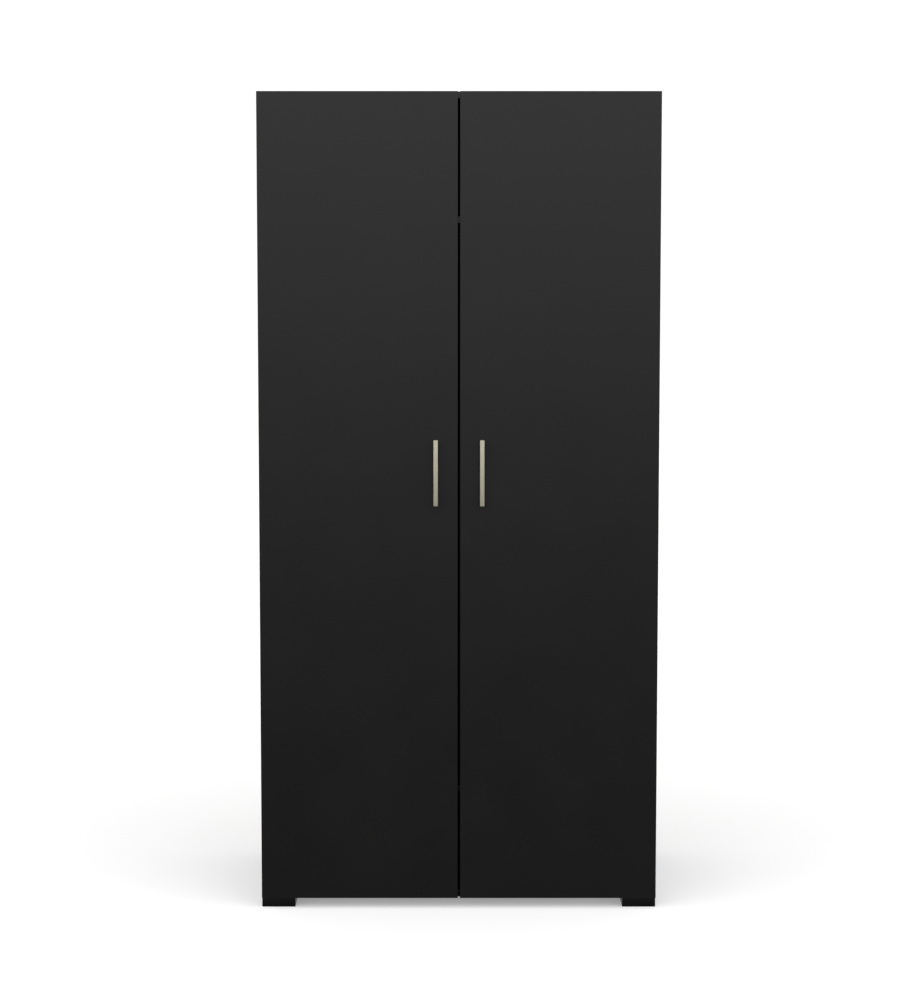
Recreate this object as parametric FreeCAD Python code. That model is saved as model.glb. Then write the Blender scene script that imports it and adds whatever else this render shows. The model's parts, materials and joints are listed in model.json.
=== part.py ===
import FreeCAD, Part
import math
import os

# Two-door wardrobe on block feet, in millimetres. +X right, +Y to the back, +Z up.
# The origin is under the middle of the whole piece, on the floor.

# ---- driving dimensions -------------------------------------------------------------
CARCASS_W = 900.0
CARCASS_H = 1820.0
CARCASS_D = 500.0
FOOT_H = 24.0
BOARD_T = 15.0

DOOR_T = 15.0
DOOR_GAP = 2.5          # air between the door's back face and the carcass front
DOOR_REVEAL = 1.0       # the doors stop this far short of the carcass outline
DOOR_MEET_GAP = 5.0     # air between the two closed doors

BACK_T = 3.0
STRIP_FLANGE_T = 1.0    # flanges of the strip that joins the two back panels
STRIP_FLANGE_W = 22.0
STRIP_WEB = 2.0

HAT_CLEAR = 260.0       # clear height above the hat shelf
SHOE_CLEAR = 226.0      # clear height under the lower shelf
SHELF_BACK_CLEAR = 2.0  # air behind the shelves, for the joining strip

HANDLE_L = 148.0
HANDLE_W = 10.0
HANDLE_T = 8.0
HANDLE_OUT = 28.0       # door face to the front of the handle
HANDLE_POST_IN = 10.0   # handle end to the axis of its post
HANDLE_POST_INSET = 0.6  # posts this much slimmer than the bar on each side
HANDLE_FROM_MEET = 52.0  # handle axis to the middle of the wardrobe
HANDLE_UP = 972.5       # handle centre above the door's bottom edge

HINGES_PER_DOOR = 4
HINGE_FROM_END = 100.0  # hinge centre to the door's top and bottom edges
CUP_R = 17.5
CUP_DEPTH = 12.0
CUP_WALL = 0.8
CUP_EDGE = 2.0          # board left between the door's outer edge and the cup
PIN_R = 1.25
RUN_CLEAR = 0.05        # radial running clearance of the arm on its pin
KNUCKLE_WALL = 0.85     # metal of the arm round the pin
PIN_SIDE_ROOM = 1.05    # arm's knuckle to the cup's wall at the door's outer edge
PIN_FLOOR_ROOM = 0.65   # arm's knuckle to the cup's floor
PLATE_SCREW_CC = 32.0
PLATE_SCREW_BACK = 37.0  # mounting plate screws behind the carcass front
CUP_SCREW_CC = 48.0
CUP_SCREW_IN = 6.0      # cup screws are this much further in than the cup's axis

FOOT_W = 76.0
RAIL_H = 30.0
RAIL_W = 15.0
RAIL_WALL = 1.0
RAIL_DROP = 65.0        # hat shelf underside to the rail's axis

CAM_R = 7.5
CAM_BELOW_BOLT = 4.5    # the cam goes this much deeper than the bolt's axis
CAM_BACK = 24.0         # joint face to the cam's axis
BOLT_THREAD_R = 2.9
BOLT_THREAD_L = 10.0
BOLT_SHANK_R = 2.5
BOLT_HEAD_R = 3.5
BOLT_BORE_R = 4.0
DOWEL_R = 4.0
DOWEL_HOST = 10.0       # dowel length in the face it joins
DOWEL_EDGE = 20.0       # dowel length in the board end
DOWEL_END_CLEAR = 0.5
CAM_FROM_EDGE = 50.0    # cams in from the front and back edges
DOWEL_FROM_EDGE = 82.0
CAM_SLOT_W = 1.6
CAM_SLOT_D = 1.8

FIT = 0.05              # snug clearance between a set-in piece and its pocket
SHOW = 0.3              # ordinary clearance between neighbouring pieces
RAIL_END_PLAY = 0.5     # the rail stops this far short of each socket's plate

SMALL_SCREW_R = 1.75    # 3.5 mm chipboard screws hold the light fittings

WALL_BRACKET_X = 300.0
WALL_BRACKET_DROP = 25.0  # wall hole below the top panel's underside
WALL_HOLE_R = 3.0

# ---- positions that follow from them ------------------------------------------------
DEPTH_ALL = HANDLE_OUT + DOOR_T + DOOR_GAP + CARCASS_D + BACK_T + STRIP_FLANGE_T
Y_HANDLE = -DEPTH_ALL / 2.0
Y_DOOR = Y_HANDLE + HANDLE_OUT
Y_DOOR_BACK = Y_DOOR + DOOR_T
Y_FRONT = Y_DOOR_BACK + DOOR_GAP
Y_BACK = Y_FRONT + CARCASS_D
X_OUT = CARCASS_W / 2.0
X_IN = X_OUT - BOARD_T
Z_BASE = FOOT_H
Z_FLOOR = Z_BASE + BOARD_T
Z_TOP = Z_BASE + CARCASS_H
Z_CEIL = Z_TOP - BOARD_T
LOWER_SHELF_Z = Z_FLOOR + SHOE_CLEAR
HAT_SHELF_Z = Z_CEIL - HAT_CLEAR - BOARD_T
DOOR_X_OUT = X_OUT - DOOR_REVEAL
DOOR_X_IN = DOOR_MEET_GAP / 2.0
Z_DOOR = Z_BASE + DOOR_REVEAL
Z_DOOR_TOP = Z_TOP - DOOR_REVEAL
DOOR_H = Z_DOOR_TOP - Z_DOOR
HALF_BOARD = BOARD_T / 2.0
CAM_DEPTH = HALF_BOARD + CAM_BELOW_BOLT
KNUCKLE_R = PIN_R + RUN_CLEAR + KNUCKLE_WALL
PIN_FROM_EDGE = CUP_EDGE + CUP_WALL + KNUCKLE_R + PIN_SIDE_ROOM
PIN_IN_DOOR = CUP_DEPTH - CUP_WALL - KNUCKLE_R - PIN_FLOOR_ROOM
PIN_X = -(DOOR_X_OUT - PIN_FROM_EDGE)
PIN_Y = Y_DOOR_BACK - PIN_IN_DOOR
CUP_X = -(DOOR_X_OUT - CUP_EDGE - CUP_R)
RAIL_Z = HAT_SHELF_Z - RAIL_DROP
RAIL_Y = Y_FRONT + CARCASS_D / 2.0

V = FreeCAD.Vector
X_DIR = V(1, 0, 0)
Y_DIR = V(0, 1, 0)
Z_DIR = V(0, 0, 1)

nodes = {}


# ---- plain helpers ------------------------------------------------------------------
def box(x0, y0, z0, x1, y1, z1):
    return Part.makeBox(x1 - x0, y1 - y0, z1 - z0, V(x0, y0, z0))


def rod(radius, length, start, direction):
    return Part.makeCylinder(radius, length, start, direction)


def joined(shapes):
    result = shapes[0].fuse(shapes[1:]) if len(shapes) > 1 else shapes[0]
    return result.removeSplitter()


def less(shape, cutters):
    if not cutters:
        return shape
    return shape.cut(Part.makeCompound(cutters))


def mirrored(shape):
    return shape.mirror(V(0, 0, 0), X_DIR)


def both_sides(shapes):
    return shapes + [mirrored(shape) for shape in shapes]


def countersunk_screw(start, direction, length, radius, head_r):
    # start is the middle of the head's flat top, direction is the way it is driven
    head_h = head_r - radius
    head = Part.makeCone(head_r, radius, head_h, start, direction)
    body_start = start + direction * head_h
    tip_l = radius * 1.5
    body = rod(radius, length - head_h - tip_l, body_start, direction)
    tip = Part.makeCone(radius, radius * 0.2, tip_l, start + direction * (length - tip_l), direction)
    return joined([head, body, tip])


def pan_screw(start, direction, length, radius, head_r, head_h):
    # start is where the underside of the head bears, direction is the way it is driven
    head = rod(head_r, head_h, start - direction * head_h, direction)
    body = rod(radius, length, start, direction)
    screw = joined([head, body])
    slot_l = head_r * 1.2
    slot_w = head_r * 0.28
    slot_d = head_h * 0.4
    across = X_DIR if abs(direction.x) < 0.5 else Y_DIR
    other = direction.cross(across)
    cross = []
    for first, second in ((across, other), (other, across)):
        corner = start - direction * head_h - first * (slot_l / 2.0) - second * (slot_w / 2.0)
        cut = Part.makeBox(slot_l, slot_w, slot_d)
        turn = FreeCAD.Rotation(first, second, first.cross(second), "ZXY")
        if first.cross(second).dot(direction) < 0:
            corner = corner + direction * slot_d
        cut.Placement = FreeCAD.Placement(corner, turn)
        cross.append(cut)
    return screw.cut(Part.makeCompound(cross))


def stadium(x0, x1, y_mid, z_mid, radius, half_run):
    # an upright oval prism along X, with its round ends above and below
    middle = box(x0, y_mid - radius, z_mid - half_run, x1, y_mid + radius, z_mid + half_run)
    low = rod(radius, x1 - x0, V(x0, y_mid, z_mid - half_run), X_DIR)
    high = rod(radius, x1 - x0, V(x0, y_mid, z_mid + half_run), X_DIR)
    return joined([middle, low, high])


# ---- cam joints and dowels ----------------------------------------------------------
cam_locks = []
cam_bolts = []
dowels = []


def cam_joint(point, into, face):
    # point lies on the joint face at mid board, into runs into the board that holds the
    # cam, face points at the board face where the cam shows. Returns the two cutters.
    centre = point + into * CAM_BACK
    cam_start = centre + face * HALF_BOARD
    pocket = rod(CAM_R, CAM_DEPTH, cam_start, face * -1)
    thread = rod(BOLT_THREAD_R, BOLT_THREAD_L, point - into * BOLT_THREAD_L, into)
    shank = rod(BOLT_SHANK_R, CAM_BACK, point, into)
    head_l = BOLT_HEAD_R
    head = rod(BOLT_HEAD_R, head_l, centre - into * (head_l / 2.0), into)
    cam_bolts.append(joined([thread, shank, head]))
    cam = rod(CAM_R - FIT, CAM_DEPTH - FIT, cam_start, face * -1)
    room = rod(BOLT_HEAD_R + SHOW, CAM_R + head_l, centre - into * (CAM_R + 1), into)
    side = into.cross(face)
    slot = Part.makeBox(CAM_SLOT_W, CAM_R * 1.3, CAM_SLOT_D)
    turn = FreeCAD.Rotation(side, into, side.cross(into), "ZXY")
    corner = cam_start - side * (CAM_SLOT_W / 2.0) - into * (CAM_R * 0.65)
    if side.cross(into).dot(face) > 0:
        corner = corner - face * CAM_SLOT_D
    slot.Placement = FreeCAD.Placement(corner, turn)
    cam_locks.append(cam.cut(Part.makeCompound([room, slot])))
    bore = rod(BOLT_BORE_R, CAM_BACK, point, into)
    return [pocket, bore], [thread]


def dowel_joint(point, into):
    start = point - into * (DOWEL_HOST - DOWEL_END_CLEAR)
    length = DOWEL_HOST + DOWEL_EDGE - 2 * DOWEL_END_CLEAR
    dowels.append(rod(DOWEL_R, length, start, into))
    edge_hole = rod(DOWEL_R, DOWEL_EDGE, point, into)
    face_hole = rod(DOWEL_R, DOWEL_HOST, point - into * DOWEL_HOST, into)
    return [edge_hole], [face_hole]


side_cuts = []
top_cuts = []
bottom_cuts = []
hat_cuts = []
lower_cuts = []
DEPTH_CAMS = (Y_FRONT + CAM_FROM_EDGE, Y_BACK - CAM_FROM_EDGE)
DEPTH_DOWELS = (Y_FRONT + DOWEL_FROM_EDGE, Y_BACK - DOWEL_FROM_EDGE)
SIDE_MID_X = -(X_OUT - HALF_BOARD)

# the left half of every board joint; the right half is its mirror image
for end_z, into, host in ((Z_FLOOR, Z_DIR, bottom_cuts), (Z_CEIL, Z_DIR * -1, top_cuts)):
    for y in DEPTH_CAMS:
        board, thread = cam_joint(V(SIDE_MID_X, y, end_z), into, X_DIR)
        side_cuts += board
        host += thread
    for y in DEPTH_DOWELS:
        board, hole = dowel_joint(V(SIDE_MID_X, y, end_z), into)
        side_cuts += board
        host += hole
for shelf_z, shelf_cuts in ((HAT_SHELF_Z, hat_cuts), (LOWER_SHELF_Z, lower_cuts)):
    for y in DEPTH_CAMS:
        board, thread = cam_joint(V(-X_IN, y, shelf_z + HALF_BOARD), X_DIR, Z_DIR * -1)
        shelf_cuts += board
        side_cuts += thread
    for y in DEPTH_DOWELS:
        board, hole = dowel_joint(V(-X_IN, y, shelf_z + HALF_BOARD), X_DIR)
        shelf_cuts += board
        side_cuts += hole
nodes["cam_locks"] = both_sides(cam_locks)
nodes["cam_bolts"] = both_sides(cam_bolts)
nodes["wooden_dowels"] = both_sides(dowels)

# ---- hanging rail, its end sockets and their screws ---------------------------------
SOCKET_PLATE_T = 3.0
SOCKET_COLLAR_L = 14.0
SOCKET_COLLAR_WALL = 2.0
SOCKET_CLEAR = 0.2
SOCKET_RIM = 4.5        # plate wider than the rail on each side
SOCKET_SCREW_OUT = 6.0  # socket screws beyond the rail's top and bottom
SOCKET_SCREW_PAD = 5.0  # plate beyond the screws
SOCKET_SCREW_L = 14.0
SOCKET_SCREW_HEAD_R = 3.5
RAIL_R = RAIL_W / 2.0
SOCKET_R = RAIL_R + SOCKET_RIM
SOCKET_SCREW_UP = RAIL_H / 2.0 + SOCKET_SCREW_OUT
SOCKET_RUN = SOCKET_SCREW_UP + SOCKET_SCREW_PAD - SOCKET_R
RAIL_RUN = RAIL_H / 2.0 - RAIL_R
rail_x = X_IN - SOCKET_PLATE_T - RAIL_END_PLAY
rail_tube = stadium(-rail_x, rail_x, RAIL_Y, RAIL_Z, RAIL_R, RAIL_RUN)
rail_hole = stadium(-X_OUT, X_OUT, RAIL_Y, RAIL_Z, RAIL_R - RAIL_WALL, RAIL_RUN)
nodes["hanging_rail"] = [rail_tube.cut(rail_hole)]
plate = stadium(-X_IN, -X_IN + SOCKET_PLATE_T, RAIL_Y, RAIL_Z, SOCKET_R, SOCKET_RUN)
collar_x = -X_IN + SOCKET_PLATE_T + SOCKET_COLLAR_L
collar_r = RAIL_R + SOCKET_CLEAR + SOCKET_COLLAR_WALL
collar = stadium(-X_IN, collar_x, RAIL_Y, RAIL_Z, collar_r, RAIL_RUN)
collar_room = stadium(-X_IN + SOCKET_PLATE_T, X_IN, RAIL_Y, RAIL_Z, RAIL_R + SOCKET_CLEAR, RAIL_RUN)
socket = joined([plate, collar]).cut(collar_room)
socket_screws = []
for up in (-SOCKET_SCREW_UP, SOCKET_SCREW_UP):
    start = V(-X_IN + SOCKET_PLATE_T, RAIL_Y, RAIL_Z + up)
    socket_screws.append(countersunk_screw(start, X_DIR * -1, SOCKET_SCREW_L, SMALL_SCREW_R,
                                           SOCKET_SCREW_HEAD_R))
socket = less(socket, socket_screws)
side_cuts += socket_screws
nodes["rail_socket_left"] = [socket]
nodes["rail_socket_right"] = [mirrored(socket)]
nodes["rail_socket_screws"] = both_sides(socket_screws)

# ---- single-pivot cup hinges: cup and pin on the door, arm and plate on the side ------
ARM_HALF_W = 5.0        # half height of the part of the arm that enters the cup
ARM_T = 1.8
ARM_LEG_IN = 2.6        # arm leg clear of the side panel's inner face
ARM_TOP_IN = 8.0        # underside of the arm's long web, off the side panel
ARM_WEB_T = 1.5
ARM_HALF_H = 7.3
ARM_FRONT = 0.8         # arm's front bend behind the carcass front
ARM_END = 60.0          # arm and plate end this far behind the carcass front
ARM_SCREWS_BACK = (24.0, 50.0)
FLANGE_T = 1.0
FLANGE_RIM = 1.0
WING_HALF_L = 31.0
WING_W = 13.0
PLATE_T = 2.0
PLATE_BODY_HALF = 5.5
PLATE_BODY_FRONT = 12.0
CHEEK_LEAD = 4.0        # the arm's side cheeks start this far before the plate's body
PLATE_WING_HALF_L = 25.0
PLATE_WING_W = 11.0
PLATE_SCREW_R = 2.5
PLATE_SCREW_L = 13.0
PLATE_SCREW_HEAD_R = 4.0
PLATE_SCREW_HEAD_H = 1.5
ARM_SCREW_R = 2.0
ARM_SCREW_L = 7.0
ARM_SCREW_HEAD_R = 3.4
ARM_SCREW_HEAD_H = 1.3
CUP_SCREW_L = 12.0
CUP_SCREW_HEAD_R = 3.2
CUP_SCREW_HEAD_H = 1.0

hinge_zs = []
for index in range(HINGES_PER_DOOR):
    step = (DOOR_H - 2 * HINGE_FROM_END) / (HINGES_PER_DOOR - 1)
    hinge_zs.append(Z_DOOR + HINGE_FROM_END + index * step)

hinge_cups = []
hinge_pins = []
cup_screws = []
hinge_arms = []
mounting_plates = []
plate_screws = []
arm_screws = []
door_cuts = []
for z in hinge_zs:
    # cup: a thin steel pot let into the door's back, with a flange and two screw wings
    cup_bottom = Y_DOOR_BACK - CUP_DEPTH
    pot = rod(CUP_R, CUP_DEPTH + FLANGE_T, V(CUP_X, cup_bottom, z), Y_DIR)
    rim = rod(CUP_R + FLANGE_RIM, FLANGE_T, V(CUP_X, Y_DOOR_BACK, z), Y_DIR)
    rim_limit = box(CUP_X - CUP_R, Y_DOOR_BACK, z - CUP_R * 2,
                    CUP_X + CUP_R * 2, Y_FRONT, z + CUP_R * 2)
    rim = rim.common(rim_limit)
    wing_x = CUP_X + CUP_SCREW_IN - WING_W / 2.0
    wings = box(wing_x, Y_DOOR_BACK, z - WING_HALF_L,
                wing_x + WING_W, Y_DOOR_BACK + FLANGE_T, z + WING_HALF_L)
    hollow_r = CUP_R - CUP_WALL
    hollow = rod(hollow_r, CUP_DEPTH + FLANGE_T, V(CUP_X, cup_bottom + CUP_WALL, z), Y_DIR)
    # the pin crosses the pot near the door's outer edge, held in the pot's own wall
    pin_reach = math.sqrt(hollow_r ** 2 - (CUP_X - PIN_X) ** 2) + CUP_WALL
    pin = rod(PIN_R, 2 * pin_reach, V(PIN_X, PIN_Y, z - pin_reach), Z_DIR)
    screws = []
    for up in (-CUP_SCREW_CC / 2.0, CUP_SCREW_CC / 2.0):
        start = V(CUP_X + CUP_SCREW_IN, Y_DOOR_BACK + FLANGE_T, z + up)
        screws.append(pan_screw(start, Y_DIR * -1, CUP_SCREW_L, SMALL_SCREW_R, CUP_SCREW_HEAD_R,
                                CUP_SCREW_HEAD_H))
    cup = joined([pot, rim, wings])
    cup = less(cup, [hollow, pin] + screws)
    hinge_cups.append(cup)
    hinge_pins.append(pin)
    cup_screws += screws
    bore = rod(CUP_R + FIT, CUP_DEPTH + FIT, V(CUP_X, cup_bottom - FIT, z), Y_DIR)
    door_cuts += [bore, pin] + screws

    # arm: a knuckle round the pin, a hooked neck out of the cup and a channel on the plate
    face_x = -X_IN
    leg_x = face_x + ARM_LEG_IN
    knuckle = rod(KNUCKLE_R, 2 * ARM_HALF_W, V(PIN_X, PIN_Y, z - ARM_HALF_W), Z_DIR)
    half_t = ARM_T / 2.0
    run = box(PIN_X, PIN_Y - half_t, z - ARM_HALF_W, leg_x + ARM_T, PIN_Y + half_t, z + ARM_HALF_W)
    bend_y = Y_FRONT + ARM_FRONT + ARM_T
    leg = box(leg_x, PIN_Y - half_t, z - ARM_HALF_W, leg_x + ARM_T, bend_y, z + ARM_HALF_W)
    web_x = face_x + ARM_TOP_IN
    bridge = box(leg_x, bend_y - ARM_T, z - ARM_HALF_W, web_x + ARM_WEB_T, bend_y, z + ARM_HALF_W)
    arm_end_y = Y_FRONT + ARM_END
    web = box(web_x, bend_y - ARM_T, z - ARM_HALF_H, web_x + ARM_WEB_T, arm_end_y, z + ARM_HALF_H)
    cheeks = []
    cheek_in = PLATE_BODY_HALF + SHOW
    cheek_y = Y_FRONT + PLATE_BODY_FRONT - CHEEK_LEAD
    for low, high in ((-ARM_HALF_H, -cheek_in), (cheek_in, ARM_HALF_H)):
        cheeks.append(box(face_x + PLATE_T + SHOW, cheek_y, z + low, web_x, arm_end_y, z + high))
    pin_hole = rod(PIN_R + RUN_CLEAR, 2 * CUP_R, V(PIN_X, PIN_Y, z - CUP_R), Z_DIR)
    body_x = web_x - SHOW
    fixings = []
    for back in ARM_SCREWS_BACK:
        start = V(web_x + ARM_WEB_T, Y_FRONT + back, z)
        fixings.append(pan_screw(start, X_DIR * -1, ARM_SCREW_L, ARM_SCREW_R, ARM_SCREW_HEAD_R,
                                 ARM_SCREW_HEAD_H))
    arm = joined([knuckle, run, leg, bridge, web] + cheeks)
    arm = less(arm, [pin_hole] + fixings)
    hinge_arms.append(arm)
    arm_screws += fixings

    # mounting plate: a raised body the arm clamps to, with wings screwed to the side
    body = box(face_x, Y_FRONT + PLATE_BODY_FRONT, z - PLATE_BODY_HALF,
               body_x, arm_end_y, z + PLATE_BODY_HALF)
    half_w = PLATE_WING_W / 2.0
    wing_y = Y_FRONT + PLATE_SCREW_BACK
    wing = box(face_x, wing_y - half_w, z - PLATE_WING_HALF_L, face_x + PLATE_T, wing_y + half_w,
               z + PLATE_WING_HALF_L)
    holders = []
    for up in (-PLATE_SCREW_CC / 2.0, PLATE_SCREW_CC / 2.0):
        start = V(face_x + PLATE_T, wing_y, z + up)
        holders.append(pan_screw(start, X_DIR * -1, PLATE_SCREW_L, PLATE_SCREW_R, PLATE_SCREW_HEAD_R,
                                 PLATE_SCREW_HEAD_H))
    mounting = less(joined([body, wing]), fixings + holders)
    mounting_plates.append(mounting)
    plate_screws += holders
    side_cuts += holders

for index in range(HINGES_PER_DOOR):
    number = str(index + 1)
    nodes["hinge_cup_left_" + number] = [hinge_cups[index]]
    nodes["hinge_cup_right_" + number] = [mirrored(hinge_cups[index])]
    nodes["hinge_arm_left_" + number] = [hinge_arms[index]]
    nodes["hinge_arm_right_" + number] = [mirrored(hinge_arms[index])]
nodes["hinge_pins_left"] = hinge_pins
nodes["hinge_pins_right"] = [mirrored(pin) for pin in hinge_pins]
nodes["cup_screws_left"] = cup_screws
nodes["cup_screws_right"] = [mirrored(screw) for screw in cup_screws]
nodes["mounting_plates_left"] = mounting_plates
nodes["mounting_plates_right"] = [mirrored(mounting) for mounting in mounting_plates]
nodes["plate_screws"] = both_sides(plate_screws)
nodes["arm_screws"] = both_sides(arm_screws)

# ---- handles: a flat bar on two posts, screwed through the door from behind ---------
HANDLE_SCREW_R = 2.0
HANDLE_SCREW_HEAD_R = 4.0
HANDLE_SCREW_HEAD_H = 2.2
HANDLE_SCREW_IN = 8.0   # thread length in the post
HANDLE_ROUND = 1.2
handle_z = Z_DOOR + HANDLE_UP
half_l = HANDLE_L / 2.0
half_w = HANDLE_W / 2.0
bar = box(-HANDLE_FROM_MEET - half_w, Y_HANDLE, handle_z - half_l, -HANDLE_FROM_MEET + half_w,
          Y_HANDLE + HANDLE_T, handle_z + half_l)
bar = bar.makeFillet(HANDLE_ROUND, bar.Edges)
posts = []
handle_screws = []
post_up = half_l - HANDLE_POST_IN
for up in (-post_up, post_up):
    post_start = V(-HANDLE_FROM_MEET, Y_HANDLE + HANDLE_T / 2.0, handle_z + up)
    posts.append(rod(half_w - HANDLE_POST_INSET, HANDLE_OUT - HANDLE_T / 2.0, post_start, Y_DIR))
    start = V(-HANDLE_FROM_MEET, Y_DOOR_BACK, handle_z + up)
    reach = DOOR_T + HANDLE_SCREW_IN
    handle_screws.append(pan_screw(start, Y_DIR * -1, reach, HANDLE_SCREW_R, HANDLE_SCREW_HEAD_R,
                                   HANDLE_SCREW_HEAD_H))
handle = joined([bar] + posts)
handle = less(handle, handle_screws)
door_cuts += handle_screws
nodes["left_handle"] = [handle]
nodes["right_handle"] = [mirrored(handle)]
nodes["left_handle_screws"] = handle_screws
nodes["right_handle_screws"] = [mirrored(screw) for screw in handle_screws]

# ---- doors and the soft bumpers that keep them off the carcass ----------------------
BUMPER_R = 4.0
BUMPER_T = DOOR_GAP - SHOW
BUMPER_IN = 30.0
door = box(-DOOR_X_OUT, Y_DOOR, Z_DOOR, -DOOR_X_IN, Y_DOOR_BACK, Z_DOOR_TOP)
door = less(door, door_cuts)
nodes["left_door"] = [door]
nodes["right_door"] = [mirrored(door)]
bumpers = []
for z in (Z_BASE + HALF_BOARD, Z_TOP - HALF_BOARD):
    bumpers.append(rod(BUMPER_R, BUMPER_T, V(-DOOR_X_IN - BUMPER_IN, Y_DOOR_BACK, z), Y_DIR))
nodes["door_bumpers_left"] = bumpers
nodes["door_bumpers_right"] = [mirrored(bumper) for bumper in bumpers]

# ---- block feet under the four corners, each held by two screws from below ----------
FOOT_SCREW_OFF = 22.0
FOOT_SCREW_SINK = 14.0
FOOT_SCREW_L = 22.0
FOOT_SCREW_R = 2.0
FOOT_SCREW_HEAD_R = 4.0
FOOT_SCREW_HEAD_H = 2.2
FOOT_BORE_RIM = 1.0     # the sunk bore is this much wider than the screw's head
FOOT_ROUND = 1.5
foot_screws = []
for name, y0 in (("front", Y_FRONT), ("rear", Y_BACK - FOOT_W)):
    foot = box(-X_OUT, y0, 0, -X_OUT + FOOT_W, y0 + FOOT_W, FOOT_H)
    upright = [edge for edge in foot.Edges if edge.BoundBox.ZLength > FOOT_H / 2.0]
    foot = foot.makeFillet(FOOT_ROUND, upright)
    mid_x = -X_OUT + FOOT_W / 2.0
    mid_y = y0 + FOOT_W / 2.0
    bores = []
    for side in (-1, 1):
        x = mid_x + side * FOOT_SCREW_OFF
        y = mid_y + side * FOOT_SCREW_OFF
        bores.append(rod(FOOT_SCREW_HEAD_R + FOOT_BORE_RIM, FOOT_SCREW_SINK, V(x, y, 0), Z_DIR))
        screw = pan_screw(V(x, y, FOOT_SCREW_SINK), Z_DIR, FOOT_SCREW_L, FOOT_SCREW_R,
                          FOOT_SCREW_HEAD_R, FOOT_SCREW_HEAD_H)
        bores.append(screw)
        foot_screws.append(screw)
    foot = less(foot, bores)
    nodes["foot_" + name + "_left"] = [foot]
    nodes["foot_" + name + "_right"] = [mirrored(foot)]
bottom_cuts += foot_screws
nodes["foot_screws"] = both_sides(foot_screws)

# ---- wall brackets in the top compartment, screwed up into the top panel ------------
BRACKET_T = 2.0
BRACKET_HALF_W = 15.0
BRACKET_LEG = 35.0
BRACKET_DROP = 42.0
BRACKET_SCREWS_BACK = 19.25  # their axis in front of the carcass back
BRACKET_SCREW_OFF = 7.0
BRACKET_SCREW_L = 13.0
BRACKET_SCREW_HEAD_R = 3.5
BRACKET_SCREW_HEAD_H = 1.8
low_leg = box(-WALL_BRACKET_X - BRACKET_HALF_W, Y_BACK - BRACKET_T, Z_CEIL - BRACKET_DROP,
              -WALL_BRACKET_X + BRACKET_HALF_W, Y_BACK, Z_CEIL)
top_leg = box(-WALL_BRACKET_X - BRACKET_HALF_W, Y_BACK - BRACKET_LEG, Z_CEIL - BRACKET_T,
              -WALL_BRACKET_X + BRACKET_HALF_W, Y_BACK, Z_CEIL)
bracket_screws = []
for side in (-BRACKET_SCREW_OFF, BRACKET_SCREW_OFF):
    start = V(-WALL_BRACKET_X + side, Y_BACK - BRACKET_SCREWS_BACK, Z_CEIL - BRACKET_T)
    bracket_screws.append(pan_screw(start, Z_DIR, BRACKET_SCREW_L, SMALL_SCREW_R,
                                    BRACKET_SCREW_HEAD_R, BRACKET_SCREW_HEAD_H))
hole_start = V(-WALL_BRACKET_X, Y_BACK - BRACKET_LEG, Z_CEIL - WALL_BRACKET_DROP)
wall_hole = rod(WALL_HOLE_R, CARCASS_D, hole_start, Y_DIR)
bracket = less(joined([low_leg, top_leg]), bracket_screws + [wall_hole])
top_cuts += bracket_screws
nodes["wall_bracket_left"] = [bracket]
nodes["wall_bracket_right"] = [mirrored(bracket)]
nodes["wall_bracket_screws"] = both_sides(bracket_screws)

# ---- back: two hardboard sheets, the strip between them and their nails -------------
BACK_EDGE = 2.0         # the sheets stop this far short of the carcass outline
NAIL_R = 0.7
NAIL_L = 18.0
NAIL_HEAD_R = 1.8
NAIL_HEAD_H = 0.6
NAIL_STEP = 140.0
NAIL_CORNER = 40.0
NAIL_FROM_FOOT = 10.0   # nails start this far in from the feet, clear of the foot screws
nail_y = Y_BACK + BACK_T
half_gap = STRIP_WEB / 2.0
sheet = box(-X_OUT + BACK_EDGE, Y_BACK, Z_BASE + BACK_EDGE, -half_gap, nail_y, Z_TOP - BACK_EDGE)


def spread(low, high, step):
    count = max(1, int(round((high - low) / step)))
    return [low + (high - low) * index / count for index in range(count + 1)]


def nail(x, z):
    head = rod(NAIL_HEAD_R, NAIL_HEAD_H, V(x, nail_y, z), Y_DIR)
    body = rod(NAIL_R, NAIL_L, V(x, nail_y, z), Y_DIR * -1)
    return joined([head, body])


side_nails = [nail(SIDE_MID_X, z) for z in spread(Z_FLOOR + NAIL_CORNER, Z_CEIL - NAIL_CORNER, NAIL_STEP)]
nail_xs = spread(-X_OUT + FOOT_W + NAIL_FROM_FOOT, -STRIP_FLANGE_W - NAIL_CORNER, NAIL_STEP)
top_nails = [nail(x, Z_TOP - HALF_BOARD) for x in nail_xs]
bottom_nails = [nail(x, Z_BASE + HALF_BOARD) for x in nail_xs]
hat_nails = [nail(x, HAT_SHELF_Z + HALF_BOARD) for x in nail_xs]
lower_nails = [nail(x, LOWER_SHELF_Z + HALF_BOARD) for x in nail_xs]
side_cuts += side_nails
top_cuts += top_nails
bottom_cuts += bottom_nails
hat_cuts += hat_nails
lower_cuts += lower_nails
all_nails = side_nails + top_nails + bottom_nails + hat_nails + lower_nails
sheet = less(sheet, all_nails + [wall_hole])
nodes["back_panel_left"] = [sheet]
nodes["back_panel_right"] = [mirrored(sheet)]
nodes["back_nails"] = both_sides(all_nails)

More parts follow.
